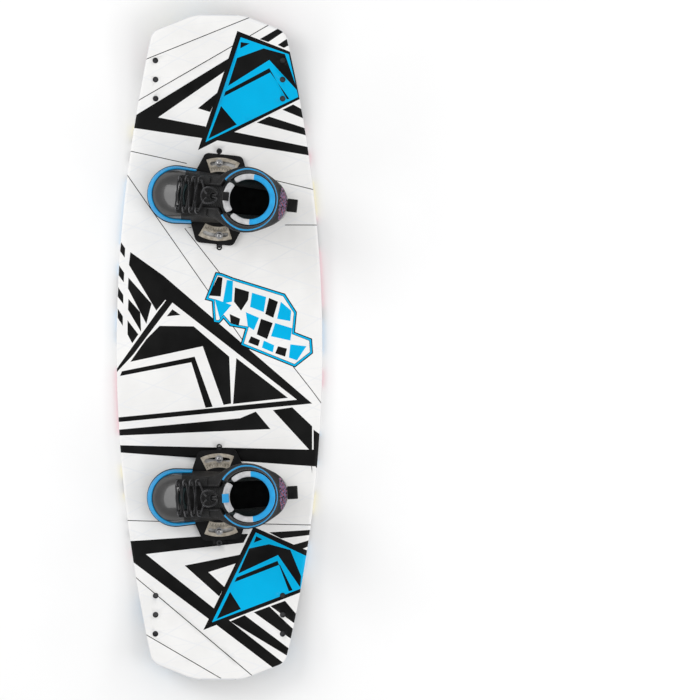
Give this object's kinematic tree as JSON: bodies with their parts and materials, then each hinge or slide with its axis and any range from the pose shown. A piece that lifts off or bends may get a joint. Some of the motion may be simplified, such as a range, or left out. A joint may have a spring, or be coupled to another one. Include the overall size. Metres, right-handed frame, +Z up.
{
  "type": "wakeboard",
  "caption": "Symmetrical rockered wakeboard with bolt-on fins and lace-up boots on turning plates, lying on its base.",
  "frame": {"origin": "middle of the flat of the base, where the board rests on the floor", "axes": "+Z up out of the deck, +Y along the board to the nose, +X across it to the heel side; toes point to -X"},
  "size_m": [0.4348, 1.397, 0.2643],
  "materials": {
    "foam": "closed-cell foam",
    "deck_gloss": "clear-coated printed deck",
    "base_gloss": "clear-coated printed base",
    "steel": "satin stainless",
    "brass": "machined",
    "black_nylon": "moulded nylon",
    "gauge_metal": "satin",
    "black_rubber": "matt",
    "foam_bed": "brushed cloth over foam",
    "blue_rubber": "semi-gloss",
    "black_patent": "patent",
    "black_leather": "coated",
    "black_fabric": "coated textile",
    "blue_piping": "piping",
    "lining_fabric": "brushed knit",
    "collar_fabric": "padded knit",
    "tongue_fabric": "padded mesh",
    "black_webbing": "woven webbing",
    "lace_cord": "braided cord",
    "blue_webbing": "woven webbing"
  },
  "bodies": {
    "board": {"base_sheet": "base_gloss", "binding_inserts": "steel", "deck_sheet": "deck_gloss", "fin_nuts": "brass", "fin_screw_cups": "steel", "fin_screws": "steel", "foam_core": "foam", "nose_heel_fin": "black_nylon", "nose_toe_fin": "black_nylon", "tail_heel_fin": "black_nylon", "tail_toe_fin": "black_nylon", "front_binding_bolts": "steel", "front_bolt_washers": "steel", "rear_binding_bolts": "steel", "rear_bolt_washers": "steel"},
    "front_boot": {"front_angle_gauges": "gauge_metal", "front_binding_plate": "black_nylon", "front_collar": "collar_fabric", "front_cuff": "black_fabric", "front_cuff_piping": "blue_piping", "front_footbed": "foam_bed", "front_heel_loop": "blue_webbing", "front_heel_panel": "black_leather", "front_lace": "lace_cord", "front_lace_loop": "lace_cord", "front_lace_rings": "gauge_metal", "front_lacing_stays": "black_webbing", "front_liner": "lining_fabric", "front_quarters": "black_leather", "front_sole": "black_rubber", "front_toe_cap": "black_patent", "front_toe_rand": "blue_rubber", "front_tongue": "tongue_fabric"},
    "front_flap": {"front_tongue_flap": "tongue_fabric", "front_tongue_pull_loop": "blue_webbing"},
    "front_lock": {"front_lace_lock": "black_nylon"},
    "rear_boot": {"rear_angle_gauges": "gauge_metal", "rear_binding_plate": "black_nylon", "rear_collar": "collar_fabric", "rear_cuff": "black_fabric", "rear_cuff_piping": "blue_piping", "rear_footbed": "foam_bed", "rear_heel_loop": "blue_webbing", "rear_heel_panel": "black_leather", "rear_lace": "lace_cord", "rear_lace_loop": "lace_cord", "rear_lace_rings": "gauge_metal", "rear_lacing_stays": "black_webbing", "rear_liner": "lining_fabric", "rear_quarters": "black_leather", "rear_sole": "black_rubber", "rear_toe_cap": "black_patent", "rear_toe_rand": "blue_rubber", "rear_tongue": "tongue_fabric"},
    "rear_flap": {"rear_tongue_flap": "tongue_fabric", "rear_tongue_pull_loop": "blue_webbing"},
    "rear_lock": {"rear_lace_lock": "black_nylon"}
  },
  "joints": [
    {"name": "front_binding_turn", "type": "hinge", "parent": "board", "child": "front_boot", "pos_m": [0, 0.312, 0.0243], "axis": [0, 0, 1], "range_deg": [-11, 23]},
    {"name": "front_tongue_fold", "type": "hinge", "parent": "front_boot", "child": "front_flap", "pos_m": [0.00577, 0.31139, 0.2103], "axis": [-0.1045, -0.9945, 0], "range_deg": [0, 30]},
    {"name": "front_lock_slide", "type": "slide", "parent": "front_boot", "child": "front_lock", "axis": [0.6655, -0.0699, 0.7431], "range_m": [0, 0.0065]},
    {"name": "rear_binding_turn", "type": "hinge", "parent": "board", "child": "rear_boot", "pos_m": [0, -0.312, 0.0243], "axis": [0, 0, 1], "range_deg": [-20, 14]},
    {"name": "rear_tongue_fold", "type": "hinge", "parent": "rear_boot", "child": "rear_flap", "pos_m": [0.00579, -0.3117, 0.2103], "axis": [0.0523, -0.9986, 0], "range_deg": [0, 30]},
    {"name": "rear_lock_slide", "type": "slide", "parent": "rear_boot", "child": "rear_lock", "axis": [0.6682, 0.035, 0.7431], "range_m": [0, 0.0065]}
  ]
}
